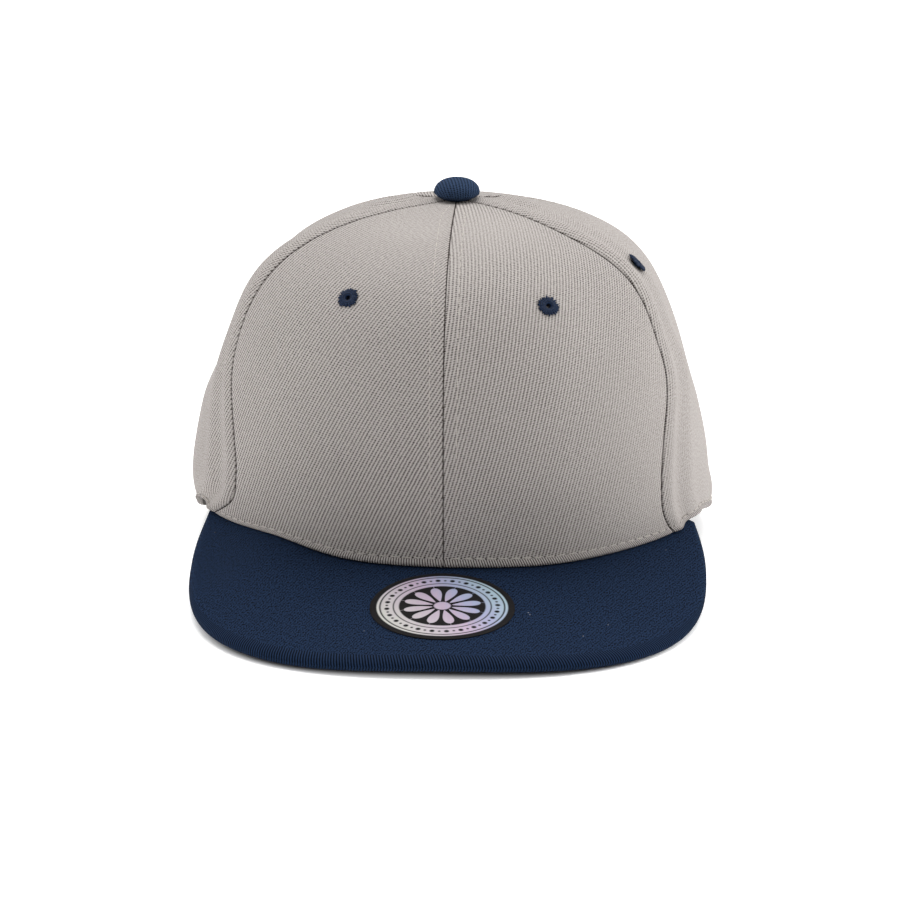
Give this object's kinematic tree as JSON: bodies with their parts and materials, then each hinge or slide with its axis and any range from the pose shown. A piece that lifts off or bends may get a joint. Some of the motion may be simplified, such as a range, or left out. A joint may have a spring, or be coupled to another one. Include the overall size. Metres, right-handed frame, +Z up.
{
  "type": "snapback cap",
  "caption": "Flat-brimmed cap with a rounded cloth crown, covered button, thread eyelets and a closed snap strap in an arched opening at the back.",
  "frame": {"origin": "middle of the cap's footprint, on the surface that it rests on", "axes": "+Z up, -Y the way the brim points, +X to the right of someone who looks at the cap's front"},
  "size_m": [0.1964, 0.2582, 0.1373],
  "materials": {
    "grey_twill": "warm grey wool-look twill with steep ribs, matt",
    "navy_twill": "navy twill with a finer weave on the brim's top and ribs over its rolled edge, matt",
    "navy_thread": "navy embroidery thread with a slight sheen",
    "navy_plastic": "moulded snap strap, satin",
    "foil": null
  },
  "bodies": {
    "root": {"front_panel_left": "grey_twill", "front_panel_right": "grey_twill", "side_panel_left": "grey_twill", "side_panel_right": "grey_twill", "back_panel_left": "grey_twill", "back_panel_right": "grey_twill", "brim": "navy_twill", "button": "navy_twill", "eyelet_front_left": "navy_thread", "eyelet_front_right": "navy_thread", "eyelet_side_left": "navy_thread", "eyelet_side_right": "navy_thread", "eyelet_back_left": "navy_thread", "eyelet_back_right": "navy_thread", "snap_strap": "navy_plastic", "sticker": "foil"}
  },
  "joints": []
}
